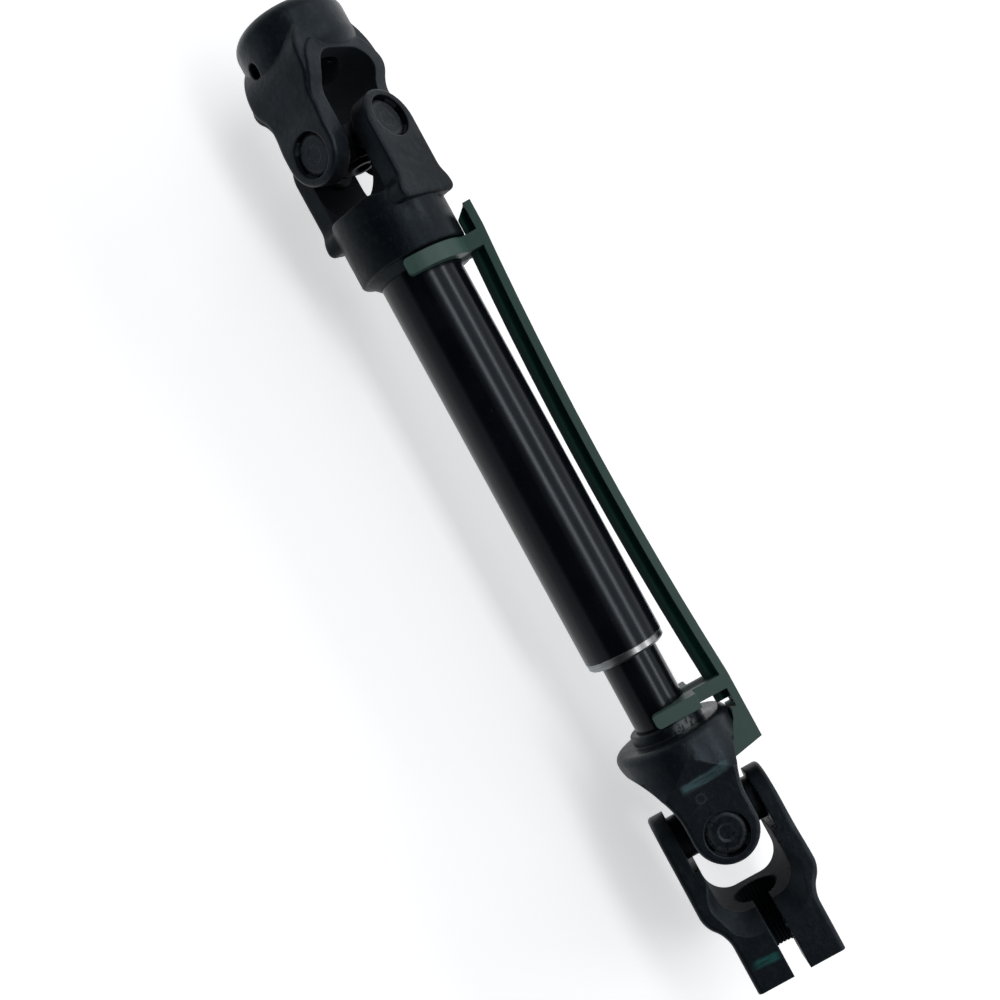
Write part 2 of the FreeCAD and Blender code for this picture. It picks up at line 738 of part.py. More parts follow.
def clip_bar():
    """The clip's long bar: a web with a rib along its outer edge, bowed in towards the tube."""
    x0 = collar_end_x - clip_tip_lead
    x1 = collar_end_x
    x2 = lower_fork_start_x
    x3 = lower_joint_x - foot_top_reach + clip_rib / 2
    inner_y = clip_end_y - clip_width
    rib_y = clip_end_y - clip_rib
    outer = [line(V(x0, clip_end_y, 0), V(x1, clip_end_y, 0)), bowed_edge(x1, x2, clip_end_y, clip_bow)]
    outer.append(line(V(x2, clip_end_y, 0), V(x3, clip_end_y, 0)))
    middle = [line(V(x0, rib_y, 0), V(x1, rib_y, 0)), bowed_edge(x1, x2, rib_y, clip_bow)]
    middle.append(line(V(x2, rib_y, 0), V(x3, rib_y, 0)))
    rib_ends = [line(V(x0, rib_y, 0), V(x0, clip_end_y, 0)), line(V(x3, rib_y, 0), V(x3, clip_end_y, 0))]
    rib = across(face_of(outer + middle + rib_ends), clip_rib_half)
    tip_y = collar_r + loose_gap
    tip_x = x0 + clip_tip_slant
    web_end_x = lower_joint_x - disc_top - loose_gap
    web_edges = chain([V(x0, rib_y, 0), V(tip_x, tip_y, 0), V(x1, tip_y, 0), V(x1, inner_y, 0)])
    web_edges.append(bowed_edge(x1, x2, inner_y, clip_bow))
    web_edges += chain([V(x2, inner_y, 0), V(web_end_x, inner_y, 0), V(web_end_x, rib_y, 0)])
    web_edges += middle[:2]
    web_edges.append(line(V(x2, rib_y, 0), V(web_end_x, rib_y, 0)))
    web = across(face_of(web_edges), clip_web_half)
    return rib.fuse(web)


def clip_fork(x0, x1, hole_r, wall, reach, flat):
    """A fork open towards -y, round on the outside beyond flat and straight-sided before it."""
    outer_r = hole_r + wall
    y_bar = clip_end_y - clip_rib
    ring = rod(outer_r, x0, x1)
    arms = bar(x0, x1, -reach, flat, -outer_r, outer_r)
    stem = bar(x0, x1, 0, y_bar, -clip_rib_half, clip_rib_half)
    beyond = bar(x0 - cut_over, x1 + cut_over, -2 * outer_r, -reach, -2 * outer_r, 2 * outer_r)
    way_in = bar(x0 - cut_over, x1 + cut_over, -2 * outer_r, 0, -hole_r, hole_r)
    hole = rod(hole_r, x0 - cut_over, x1 + cut_over)
    fork = ring.fuse([arms, stem]).cut([beyond, way_in, hole])
    ends = edges_at(fork, V(x0 - near, -reach - near, -far), V(x1 + near, -reach + near, far))
    return fork.makeFillet(fork_tip_r, [edge for edge in ends if edge.BoundBox.ZLength > near])


def weld_relief():
    """Room for the weld bead under the upper fork, all along the way that the clip slides off."""
    x0 = collar_end_x
    x1 = collar_end_x + weld_leg + loose_gap
    r0 = tube_r + weld_leg + 2 * loose_gap
    r1 = tube_r + loose_gap
    cone = Part.makeCone(r0, r1, x1 - x0, V(x0, 0, 0), AXIS_X)
    corners = [V(x0, 0, -r0), V(x0, 0, r0), V(x1, 0, r1), V(x1, 0, -r1), V(x0, 0, -r0)]
    trough = face_of(chain(corners)).extrude(V(0, -2 * r0, 0))
    return cone.fuse(trough)


def clip_foot():
    """The foot that hooks behind the lower yoke's shoulder and follows its flank."""
    x0 = lower_joint_x - foot_top_reach
    x1 = lower_joint_x - foot_end_reach
    x_inner = x1 + foot_slant
    edges = chain([
        V(x0, foot_inner_y, 0), V(x0, clip_end_y, 0), V(x1, clip_end_y, 0),
        V(x_inner, foot_inner_y, 0), V(x0, foot_inner_y, 0),
    ])
    plate = across(face_of(edges), clip_rib_half)
    flank = across(flank_outline(loose_gap), 2 * clip_rib_half)
    return plate.cut(placed(flank, lower_joint_x, -1, lower_shaft_yoke_turn))


def make_retaining_clip():
    upper_x = collar_end_x + upper_fork_gap
    upper_fork = clip_fork(
        upper_x, upper_x + upper_fork_thickness, tube_r + loose_gap, upper_fork_wall, upper_fork_reach, 0
    )
    lower_fork = clip_fork(
        lower_fork_start_x, lower_fork_end_x, shaft_r + loose_gap, lower_fork_wall, lower_fork_reach,
        lower_fork_flat,
    )
    clip = clip_bar().fuse([upper_fork.cut(weld_relief()), lower_fork, clip_foot()])
    return clip.removeSplitter()


def bearing_nodes(yoke_name, joint_x, way, turn):
    """Cups, seals and needle rollers of one yoke, by node name."""
    nodes = {}
    rollers = []
    for side, half_turn in (("a", 0), ("b", 180)):
        cup = turned(make_cup(), half_turn)
        seal = turned(make_seal(), half_turn)
        rollers += [turned(roller, half_turn) for roller in make_rollers()]
        nodes[yoke_name + "_cup_" + side] = placed(cup, joint_x, way, turn)
        nodes[yoke_name + "_seal_" + side] = placed(seal, joint_x, way, turn)
    nodes[yoke_name + "_needles"] = placed(Part.makeCompound(rollers), joint_x, way, turn)
    return nodes


def make_nodes():
    yokes = (
        ("upper_yoke", make_upper_yoke(), upper_joint_x, -1, upper_yoke_turn),
        ("tube_yoke", make_tube_yoke(), upper_joint_x, 1, tube_yoke_turn),
        ("lower_shaft_yoke", make_lower_shaft_yoke(), lower_joint_x, -1, lower_shaft_yoke_turn),
        ("clamp_yoke", make_clamp_yoke(), lower_joint_x, 1, clamp_yoke_turn),
    )
    nodes = {}
    for name, shape, joint_x, way, turn in yokes:
        nodes[name] = placed(shape, joint_x, way, turn)
        nodes.update(bearing_nodes(name, joint_x, way, turn))
    nodes["upper_cross"] = placed(make_cross(), upper_joint_x, 1, upper_yoke_turn)
    nodes["lower_cross"] = placed(make_cross(), lower_joint_x, 1, lower_shaft_yoke_turn)
    nodes["outer_tube"] = make_outer_tube()
    nodes["inner_shaft"] = make_inner_shaft()
    nodes["spline_sleeve"] = make_spline_sleeve()
    nodes["retaining_clip"] = make_retaining_clip()
    return nodes


os.makedirs("parts", exist_ok=True)
for node_name, solid in make_nodes().items():
    solid.exportStep("parts/" + node_name + ".step")
    print(node_name, solid.isValid(), len(solid.Solids), round(solid.Volume, 1))
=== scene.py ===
import json
import math
from collections import namedtuple

import bpy
from mathutils import Matrix, Vector


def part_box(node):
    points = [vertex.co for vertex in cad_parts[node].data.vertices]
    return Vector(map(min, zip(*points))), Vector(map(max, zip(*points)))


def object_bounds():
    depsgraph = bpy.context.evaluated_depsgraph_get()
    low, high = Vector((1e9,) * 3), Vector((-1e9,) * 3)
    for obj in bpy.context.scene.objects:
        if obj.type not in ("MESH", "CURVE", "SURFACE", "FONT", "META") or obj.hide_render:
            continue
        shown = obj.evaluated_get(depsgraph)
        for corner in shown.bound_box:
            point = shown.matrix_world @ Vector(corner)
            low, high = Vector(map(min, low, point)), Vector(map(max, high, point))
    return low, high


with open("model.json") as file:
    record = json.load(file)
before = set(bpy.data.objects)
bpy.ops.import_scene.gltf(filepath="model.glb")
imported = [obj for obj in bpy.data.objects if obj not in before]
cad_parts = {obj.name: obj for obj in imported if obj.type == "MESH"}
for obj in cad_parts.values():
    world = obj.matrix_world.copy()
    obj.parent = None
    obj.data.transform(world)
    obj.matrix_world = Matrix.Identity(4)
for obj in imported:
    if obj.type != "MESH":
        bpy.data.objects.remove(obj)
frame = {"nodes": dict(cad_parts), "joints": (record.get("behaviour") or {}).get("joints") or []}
cad_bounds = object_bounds()
joints = {joint["name"]: joint for joint in frame["joints"]}

MM = 0.001
ALONG = Vector((1.0, 0.0, 0.0))

# Places on the object, in metres
TUBE_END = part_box("outer_tube")[1].x
TUBE_BAND = 3.0 * MM
EAR_INNER = 14.2 * MM
CLIP_BOW_MIDDLE = 186.6 * MM
CLIP_BOW_HALF = 89.4 * MM
CLIP_BOW = 2.9 * MM
CLIP_WEB_HALF = 4.2 * MM
CLIP_RIB = 25.7 * MM
# Span of y across which the clip hollow's painted shade lightens from the tube's side to the rib's
CLIP_SHADE_FADE = (20.8 * MM, 23.6 * MM)
CLIP_WEAR = (105.0 * MM, 290.0 * MM)

# Camera, at the photograph's angle: straight down, turned so that the shaft runs to the lower right
CAMERA_PLACE = Vector((0.1855, -0.0136, 0.435))
CAMERA_TURN = 61.4
LENS = 44.0
SENSOR = 36.0

# The yokes swing almost FLOOR_GAP below the lowest point at rest
FLOOR_GAP = 10.8 * MM
FLOOR_CENTRE = (0.2, 0.0)
FLOOR_SIZE = 6.0
FLOOR_GREY = (0.86, 0.86, 0.86, 1.0)
FLOOR_GLOW = 0.50

# The world: white walls, and a dark gap overhead between two slopes of y over z, or over LEAST_Z
WALL_WHITE = (0.90, 0.93, 0.96)
GAP_DARK = (0.035, 0.038, 0.045)
GAP_NEAR = (0.15, 0.42)
GAP_FAR = (-1.45, -1.0)
LEAST_Z = 0.05
HORIZON = (0.2, 0.45)
WALL_NEAR = 0.8
WALL_FAR = 0.55
WALL_LOW = 0.75

# Strip lights, parallel to the shaft
STRIP_CENTRE = Vector((0.19, 0.0, 0.0))
STRIP_DISTANCE = 1.3
STRIP_LENGTH = 1.5

# Colours, linear
COAT_DARK = (0.0012, 0.0020, 0.0036)
COAT_LIGHT = (0.0062, 0.0078, 0.0100)
COAT_PATCH = (0.013, 0.0155, 0.0185)
COAT_WORN = (0.055, 0.060, 0.066)
# Painted shade: the coat between a yoke's arms and inside the clamp's bore
COAT_PAINTED_SHADE = (0.0010, 0.0016, 0.0030)
COAT_STAMPED = (0.045, 0.050, 0.058)
COAT_RUBBED = (0.17, 0.18, 0.18)
COAT_TINT = (0.70, 0.87, 1.0, 1.0)
COAT_DUST = (0.09, 0.09, 0.09)
CUP_DARK = (0.0022, 0.0030, 0.0045)
CUP_LIGHT = (0.0075, 0.0085, 0.0105)
CUP_WORN = (0.070, 0.075, 0.084)
TUBE_DARK = (0.0012, 0.0016, 0.0030)
TUBE_LIGHT = (0.0026, 0.0032, 0.0050)
TUBE_STREAK = (0.020, 0.021, 0.023)
TUBE_DUST = (0.10, 0.10, 0.10)
TUBE_TINT = (0.84, 0.92, 0.98, 1.0)
TURNED_DARK = (0.11, 0.115, 0.12)
TURNED_LIGHT = (0.36, 0.36, 0.36)
CLIP_DARK = (0.008, 0.036, 0.026)
CLIP_LIGHT = (0.014, 0.052, 0.039)
CLIP_SCUFF = (0.060, 0.094, 0.084)
# Painted shade in the clip's hollow: darkest towards the tube, a deep green towards the rib
CLIP_SHADE_NEAR_TUBE = (0.001, 0.014, 0.010)
CLIP_SHADE_NEAR_RIB = (0.009, 0.085, 0.062)
NYLON_DARK = (0.62, 0.60, 0.54)
NYLON_LIGHT = (0.74, 0.72, 0.67)
NYLON_SCUFF = (0.45, 0.42, 0.36)
RUBBER_DARK = (0.012, 0.012, 0.013)
RUBBER_LIGHT = (0.030, 0.030, 0.030)
OILED_DARK = (0.008, 0.009, 0.012)
OILED_LIGHT = (0.030, 0.031, 0.034)
GROUND_DARK = (0.42, 0.42, 0.43)
GROUND_LIGHT = (0.62, 0.61, 0.60)
TEAL_PALE = (0.050, 0.095, 0.105)
TEAL_DEEP = (0.010, 0.085, 0.075)

# Where marks and shaded places are, in millimetres
Throat = namedtuple("Throat", "joint depth half_width")
Stroke = namedtuple("Stroke", "x y lowest_z slant paint")
Spot = namedtuple("Spot", "centre radius")
Bore = namedtuple("Bore", "mouth radius")

ARM_STROKE = Stroke((299.8, 302.8), (-6.5, 11.0), 20.0, 0.06, TEAL_PALE)
BLOCK_STROKE = Stroke((365.2, 368.0), (-13.2, -4.4), 12.0, -0.05, TEAL_DEEP)
STAMPED_RING = Spot((306.7, -2.3, 22.0), 1.6)
RUBBED_SPOT = Spot((285.9, 5.5, 12.3), 4.2)
# The clamp's bore, whose coat is painted darker as shade
SERRATED_BORE = Bore(346.0, 9.3)


# Node helpers


def set_socket(tree, socket, value):
    """Links value to the socket where it is another node's socket, and otherwise sets it."""
    if isinstance(value, bpy.types.NodeSocket):
        tree.links.new(value, socket)
    elif socket.type == "RGBA" and len(value) == 3:
        socket.default_value = (*value, 1.0)
    else:
        socket.default_value = value


def add(tree, kind, inputs=None, **settings):
    """Adds a node. A value in inputs is a number, a colour, a vector, or another node's socket."""
    node = tree.nodes.new(kind)
    for key, value in settings.items():
        setattr(node, key, value)
    for key, value in (inputs or {}).items():
        set_socket(tree, node.inputs[key], value)
    return node


def maths(tree, operation, *values):
    node = add(tree, "ShaderNodeMath", dict(enumerate(values)), operation=operation)
    return node.outputs[0]


def product(tree, *values):
    result = values[0]
    for value in values[1:]:
        result = maths(tree, "MULTIPLY", result, value)
    return result


def total(tree, *values):
    result = values[0]
    for value in values[1:]:
        result = maths(tree, "ADD", result, value)
    return result


def larger(tree, *values):
    result = values[0]
    for value in values[1:]:
        result = maths(tree, "MAXIMUM", result, value)
    return result


def inverse(tree, value):
    return maths(tree, "SUBTRACT", 1.0, value)


def step_up(tree, value, low, high):
    """0 below low, 1 above high, and smooth between."""
    node = add(
        tree, "ShaderNodeMapRange",
        {"Value": value, "From Min": low, "From Max": high, "To Min": 0.0, "To Max": 1.0},
        interpolation_type="SMOOTHSTEP",
    )
    return node.outputs["Result"]


def within(tree, value, limit, soft):
    """1 where the value's size is under limit, with a soft border."""
    size = maths(tree, "ABSOLUTE", value)
    return inverse(tree, step_up(tree, size, limit - soft, limit + soft))


def band(tree, value, low, high, soft):
    """1 where value lies between low and high, with a soft border."""
    rise = step_up(tree, value, low - soft, low + soft)
    fall = step_up(tree, value, high - soft, high + soft)
    return maths(tree, "SUBTRACT", rise, fall)


def vector_maths(tree, operation, output, *vectors):
    node = add(tree, "ShaderNodeVectorMath", dict(enumerate(vectors)), operation=operation)
    return node.outputs[output]


def dotted(tree, vector, axis):
    return vector_maths(tree, "DOT_PRODUCT", "Value", vector, axis)


def distance(tree, vector, point):
    return vector_maths(tree, "DISTANCE", "Value", vector, point)


def minus(tree, vector, point):
    return vector_maths(tree, "SUBTRACT", "Vector", vector, point)


def split(tree, vector):
    return add(tree, "ShaderNodeSeparateXYZ", {"Vector": vector}).outputs


def blend_colour(tree, factor, first, second):
    node = add(tree, "ShaderNodeMix", {"Factor": factor}, data_type="RGBA")
    set_socket(tree, node.inputs[6], first)
    set_socket(tree, node.inputs[7], second)
    return node.outputs[2]


def blend_value(tree, factor, first, second):
    node = add(tree, "ShaderNodeMix", {"Factor": factor, 2: first, 3: second}, data_type="FLOAT")
    return node.outputs[0]


def noise(tree, vector, scale, detail=3.0, roughness=0.5):
    inputs = {"Vector": vector, "Scale": scale, "Detail": detail, "Roughness": roughness}
    return add(tree, "ShaderNodeTexNoise", inputs).outputs["Fac"]


def stretched(tree, vector, scale):
    node = add(tree, "ShaderNodeMapping", {"Vector": vector, "Scale": scale})
    return node.outputs["Vector"]


def streaked(tree, vector, scale, detail=2.0, roughness=0.5):
    """Noise with a scale of its own along each axis."""
    return noise(tree, stretched(tree, vector, scale), 1.0, detail, roughness)


def bump(tree, height, depth, strength=1.0, normal=None):
    inputs = {"Height": height, "Distance": depth, "Strength": strength}
    if normal is not None:
        inputs["Normal"] = normal
    return add(tree, "ShaderNodeBump", inputs).outputs["Normal"]


def edge_mask(tree, radius):
    """Mask of the edges, convex and concave, nearer than radius, and the softened normal."""
    soft = add(tree, "ShaderNodeBevel", {"Radius": radius}, samples=6).outputs["Normal"]
    true = add(tree, "ShaderNodeNewGeometry").outputs["Normal"]
    turned = inverse(tree, dotted(tree, soft, true))
    return step_up(tree, turned, 0.01, 0.16), soft


def new_material(name):
    """A material with a Principled shader, and its node for the place on the object."""
    material = bpy.data.materials.new(name)
    material.use_nodes = True
    tree = material.node_tree
    tree.nodes.clear()
    shader = add(tree, "ShaderNodeBsdfPrincipled")
    add(tree, "ShaderNodeOutputMaterial", {"Surface": shader.outputs["BSDF"]})
    place = add(tree, "ShaderNodeTexCoord").outputs["Object"]
    return material, tree, shader, place


def plug(tree, shader, **sockets):
    """Sets or links the shader's sockets: Base_Color stands for Base Color."""
    for name, value in sockets.items():
        set_socket(tree, shader.inputs[name.replace("_", " ")], value)


def scaled(values, share):
    return tuple(share * value for value in values)


# Finishes


def brush_stroke(tree, place, stroke):
    """Mask of one hand-painted stroke with a ragged border."""
    xyz = split(tree, place)
    ragged = 0.9 * MM
    x0, x1 = scaled(stroke.x, MM)
    y0, y1 = scaled(stroke.y, MM)
    lowest = stroke.lowest_z * MM
    wobble = maths(tree, "SUBTRACT", noise(tree, place, 420.0, detail=4.0), 0.5)
    shift = product(tree, wobble, ragged)
    x = total(tree, xyz["X"], product(tree, xyz["Y"], stroke.slant), shift)
    y = total(tree, xyz["Y"], product(tree, shift, 2.5))
    over_x = band(tree, x, x0, x1, 0.6 * MM)
    over_y = band(tree, y, y0, y1, 1.4 * MM)
    above = step_up(tree, xyz["Z"], lowest - 0.5 * MM, lowest)
    fibres = streaked(tree, place, (1800.0, 120.0, 600.0))
    cover = blend_value(tree, step_up(tree, fibres, 0.35, 0.60), 0.35, 1.0)
    return product(tree, over_x, over_y, above, cover)


def inside_throat(tree, place, throat):
    """1 on the surfaces between a yoke's arms, where the coat is painted darker as shade."""
    pin = Vector(throat.joint["axis"])
    depth = throat.depth * MM
    offset = minus(tree, place, throat.joint["pos_m"])
    between = within(tree, dotted(tree, offset, pin), EAR_INNER + 0.2 * MM, 0.25 * MM)
    covered = within(tree, dotted(tree, offset, pin.cross(ALONG)), throat.half_width * MM, 0.5 * MM)
    reach = product(tree, dotted(tree, offset, ALONG), math.copysign(1.0, depth))
    deep = inverse(tree, step_up(tree, reach, abs(depth), abs(depth) + 0.4 * MM))
    return product(tree, between, covered, deep)


def inside_bore(tree, place, bore):
    """1 in a hole round the shaft's axis, from its mouth on, where the coat is painted darker as
    shade.
    """
    around = distance(tree, stretched(tree, place, (0.0, 1.0, 1.0)), (0.0, 0.0, 0.0))
    past = step_up(tree, split(tree, place)["X"], (bore.mouth - 1.0) * MM, bore.mouth * MM)
    return product(tree, within(tree, around, bore.radius * MM, 0.1 * MM), past)


def forged_finish(name, share, gloss, throat, stroke=None, ring=None, rub=None, bore=None):
    """Satin black coat over a forged skin: mottled, slightly pitted, thin on the edges.

    Share scales the coat's colours: a lower share is a darker copy of one coat, painted shade on
    yokes that get less light.
    """
    material, tree, shader, place = new_material(name)
    cloud = noise(tree, place, 62.0, detail=4.0, roughness=0.6)
    skin = noise(tree, place, 420.0, detail=5.0, roughness=0.6)
    grain = noise(tree, place, 2600.0, detail=3.0, roughness=0.6)
    worn, soft = edge_mask(tree, 0.9 * MM)

    tone = step_up(tree, cloud, 0.38, 0.62)
    colour = blend_colour(tree, tone, scaled(COAT_DARK, share), scaled(COAT_LIGHT, share))
    patches = product(tree, step_up(tree, skin, 0.48, 0.70), 0.5)
    colour = blend_colour(tree, patches, colour, scaled(COAT_PATCH, share))
    thin = product(tree, worn, step_up(tree, grain, 0.35, 0.62), 0.5)
    colour = blend_colour(tree, thin, colour, scaled(COAT_WORN, share))
    dust = step_up(tree, noise(tree, place, 1500.0, detail=2.0), 0.73, 0.78)
    colour = blend_colour(tree, product(tree, dust, 0.35), colour, COAT_DUST)

    # Painted shade: the coat is drawn darker between the arms and in the bore
    painted_shade = inside_throat(tree, place, throat)
    if bore:
        painted_shade = larger(tree, painted_shade, inside_bore(tree, place, bore))
    colour = blend_colour(tree, painted_shade, colour, scaled(COAT_PAINTED_SHADE, share))
    rough = blend_value(tree, step_up(tree, cloud, 0.35, 0.7), 0.46, 0.27)
    rough = blend_value(tree, painted_shade, rough, 0.75)

    if stroke:
        mask = brush_stroke(tree, place, stroke)
        colour = blend_colour(tree, product(tree, mask, 0.7), colour, stroke.paint)
        rough = blend_value(tree, mask, rough, 0.45)
    if ring:
        away = distance(tree, place, scaled(ring.centre, MM))
        mark = band(tree, away, (ring.radius - 0.3) * MM, (ring.radius + 0.3) * MM, 0.2 * MM)
        near = within(tree, away, 4.5 * MM, 1.5 * MM)
        specks = product(tree, near, step_up(tree, grain, 0.60, 0.66))
        pale = larger(tree, product(tree, mark, 0.35), product(tree, specks, 0.5))
        colour = blend_colour(tree, pale, colour, COAT_STAMPED)
    if rub:
        away = distance(tree, place, scaled(rub.centre, MM))
        near = within(tree, away, rub.radius * MM, 0.5 * rub.radius * MM)
        area = product(tree, near, step_up(tree, skin, 0.42, 0.56))
        colour = blend_colour(tree, product(tree, area, 0.8), colour, COAT_RUBBED)
        rough = blend_value(tree, area, rough, 0.32)

    relief = bump(tree, cloud, 0.9 * MM, 0.35, soft)
    relief = bump(tree, skin, 0.22 * MM, 0.6, relief)
    relief = bump(tree, grain, 0.05 * MM, 0.5, relief)
    plug(tree, shader, Base_Color=colour, Roughness=rough, Normal=relief)
    plug(tree, shader, Specular_IOR_Level=gloss, Specular_Tint=COAT_TINT)
    return material


def cup_finish(name, gloss, joint):
    """Bearing cup: a drawn steel cap under the same coat, turned face, rubbed rim."""
    material, tree, shader, place = new_material(name)
    offset = minus(tree, place, joint["pos_m"])
    across = vector_maths(tree, "CROSS_PRODUCT", "Vector", offset, joint["axis"])
    radius = vector_maths(tree, "LENGTH", "Value", across)
    skin = noise(tree, place, 700.0, detail=4.0, roughness=0.6)
    grain = noise(tree, place, 3000.0, detail=2.0)
    groove_pitch = 0.28 * MM
    grooves = maths(tree, "SINE", product(tree, radius, 2 * math.pi / groove_pitch))
    worn, soft = edge_mask(tree, 0.5 * MM)

    colour = blend_colour(tree, step_up(tree, skin, 0.35, 0.65), CUP_DARK, CUP_LIGHT)
    rim = band(tree, radius, 5.5 * MM, 7.2 * MM, 0.4 * MM)
    eye = band(tree, radius, 2.4 * MM, 3.3 * MM, 0.25 * MM)
    rubbed = larger(
        tree, product(tree, rim, 0.30), product(tree, eye, 0.30), product(tree, worn, 0.35)
    )
    rubbed = product(tree, rubbed, step_up(tree, skin, 0.30, 0.55))
    colour = blend_colour(tree, rubbed, colour, CUP_WORN)

    relief = bump(tree, grooves, 0.012 * MM, 0.5, soft)
    relief = bump(tree, grain, 0.03 * MM, 0.5, relief)
    rough = blend_value(tree, skin, 0.20, 0.40)
    plug(tree, shader, Base_Color=colour, Roughness=rough, Normal=relief)
    plug(tree, shader, Specular_IOR_Level=gloss, Specular_Tint=COAT_TINT)
    return material


def tube_finish(name, line_scale, band_start=None):
    """Semi-gloss black over drawn tube, finely lined, and bare turned steel past band_start."""
    material, tree, shader, place = new_material(name)
    lines = streaked(tree, place, line_scale, detail=3.0, roughness=0.6)
    cloud = noise(tree, place, 70.0)
    peel = noise(tree, place, 900.0, detail=2.0)

    colour = blend_colour(tree, step_up(tree, cloud, 0.3, 0.7), TUBE_DARK, TUBE_LIGHT)
    streaks = step_up(tree, lines, 0.62, 0.74)
    colour = blend_colour(tree, product(tree, streaks, 0.3), colour, TUBE_STREAK)
    dust = step_up(tree, noise(tree, place, 1700.0, detail=2.0), 0.72, 0.77)
    colour = blend_colour(tree, product(tree, dust, 0.25), colour, TUBE_DUST)
    rough = blend_value(tree, lines, 0.13, 0.27)
    metal = 0.0
    if band_start is not None:
        wobble = product(tree, maths(tree, "SUBTRACT", noise(tree, place, 300.0), 0.5), 0.5 * MM)
        x = total(tree, split(tree, place)["X"], wobble)
        metal = step_up(tree, x, band_start - 0.1 * MM, band_start + 0.1 * MM)
        turned = streaked(tree, place, (5000.0, 60.0, 60.0))
        steel = blend_colour(tree, turned, TURNED_DARK, TURNED_LIGHT)
        colour = blend_colour(tree, metal, colour, steel)
        rough = blend_value(tree, metal, rough, 0.30)

    relief = bump(tree, lines, 0.012 * MM, 0.6)
    relief = bump(tree, peel, 0.02 * MM, 0.5, relief)
    plug(tree, shader, Base_Color=colour, Roughness=rough, Metallic=metal, Normal=relief)
    plug(tree, shader, Specular_IOR_Level=0.24, Specular_Tint=TUBE_TINT)
    return material


def clip_recess(tree, place):
    """Mask and painted-shade colour of the hollow by the rib, and how worn the clip is outside it.
    """
    xyz = split(tree, place)
    along = maths(tree, "DIVIDE", maths(tree, "SUBTRACT", xyz["X"], CLIP_BOW_MIDDLE), CLIP_BOW_HALF)
    bow = inverse(tree, maths(tree, "MINIMUM", product(tree, along, along), 1.0))
    straight = total(tree, xyz["Y"], product(tree, bow, CLIP_BOW))
    inner = inverse(tree, step_up(tree, straight, CLIP_RIB - 0.4 * MM, CLIP_RIB + 0.4 * MM))
    hollow = product(tree, within(tree, xyz["Z"], CLIP_WEB_HALF, 1.8 * MM), inner)
    # Painted shade: the hollow is drawn dark green, darker still towards the tube
    deep = blend_colour(tree, step_up(tree, straight, *CLIP_SHADE_FADE), CLIP_SHADE_NEAR_TUBE, CLIP_SHADE_NEAR_RIB)
    wear = blend_value(tree, step_up(tree, xyz["X"], *CLIP_WEAR), 0.30, 0.70)
    return hollow, deep, wear


def moulded_finish(name, dark, light, scuff, rough_low, recess=None):
    """Injection-moulded plastic: fine grain, slight flow marks, edges rubbed pale, painted shade in
    a recess.
    """
    material, tree, shader, place = new_material(name)
    flow = streaked(tree, place, (18.0, 90.0, 90.0))
    grain = noise(tree, place, 3200.0, detail=3.0, roughness=0.6)
    smear = noise(tree, place, 240.0, detail=4.0, roughness=0.6)
    worn, soft = edge_mask(tree, 0.35 * MM)

    colour = blend_colour(tree, step_up(tree, flow, 0.3, 0.7), dark, light)
    rubbed = product(tree, worn, step_up(tree, smear, 0.35, 0.6))
    colour = blend_colour(tree, product(tree, rubbed, 0.45), colour, scuff)
    haze = step_up(tree, smear, 0.56, 0.72)
    colour = blend_colour(tree, product(tree, haze, 0.22), colour, scuff)
    rough = blend_value(tree, smear, rough_low, 0.55)
    if recess:
        # The recess paints shade into the hollow's colour
        hollow, deep, wear = recess(tree, place)
        colour = blend_colour(tree, hollow, blend_colour(tree, wear, colour, scuff), deep)
        rough = blend_value(tree, hollow, rough, 0.8)

    relief = bump(tree, grain, 0.03 * MM, 0.6, soft)
    relief = bump(tree, smear, 0.05 * MM, 0.3, relief)
    plug(tree, shader, Base_Color=colour, Roughness=rough, Normal=relief, Specular_IOR_Level=0.28)
    return material


def rubber_finish(name):
    """Black rubber with a dull bloom."""
    material, tree, shader, place = new_material(name)
    bloom = noise(tree, place, 500.0, detail=4.0, roughness=0.6)
    grain = noise(tree, place, 4000.0, detail=2.0)
    colour = blend_colour(tree, step_up(tree, bloom, 0.4, 0.7), RUBBER_DARK, RUBBER_LIGHT)
    rough = blend_value(tree, bloom, 0.62, 0.82)
    plug(tree, shader, Base_Color=colour, Roughness=rough, Normal=bump(tree, grain, 0.03 * MM, 0.6))
    return material


def steel_finish(name, dark, light, rough_low, rough_high):
    """Ground steel with an oil film: grinding lines and darker smears."""
    material, tree, shader, place = new_material(name)
    smear = noise(tree, place, 300.0, detail=4.0, roughness=0.6)
    lines = streaked(tree, place, (2600.0, 140.0, 140.0))
    colour = blend_colour(tree, step_up(tree, smear, 0.3, 0.7), dark, light)
    rough = blend_value(tree, smear, rough_low, rough_high)
    relief = bump(tree, lines, 0.01 * MM, 0.6)
    plug(tree, shader, Base_Color=colour, Roughness=rough, Metallic=1.0, Normal=relief)
    return material


def dress(node, material):
    slots = frame["nodes"][node].material_slots
    if not slots:
        frame["nodes"][node].data.materials.append(material)
    for slot in slots:
        slot.material = material


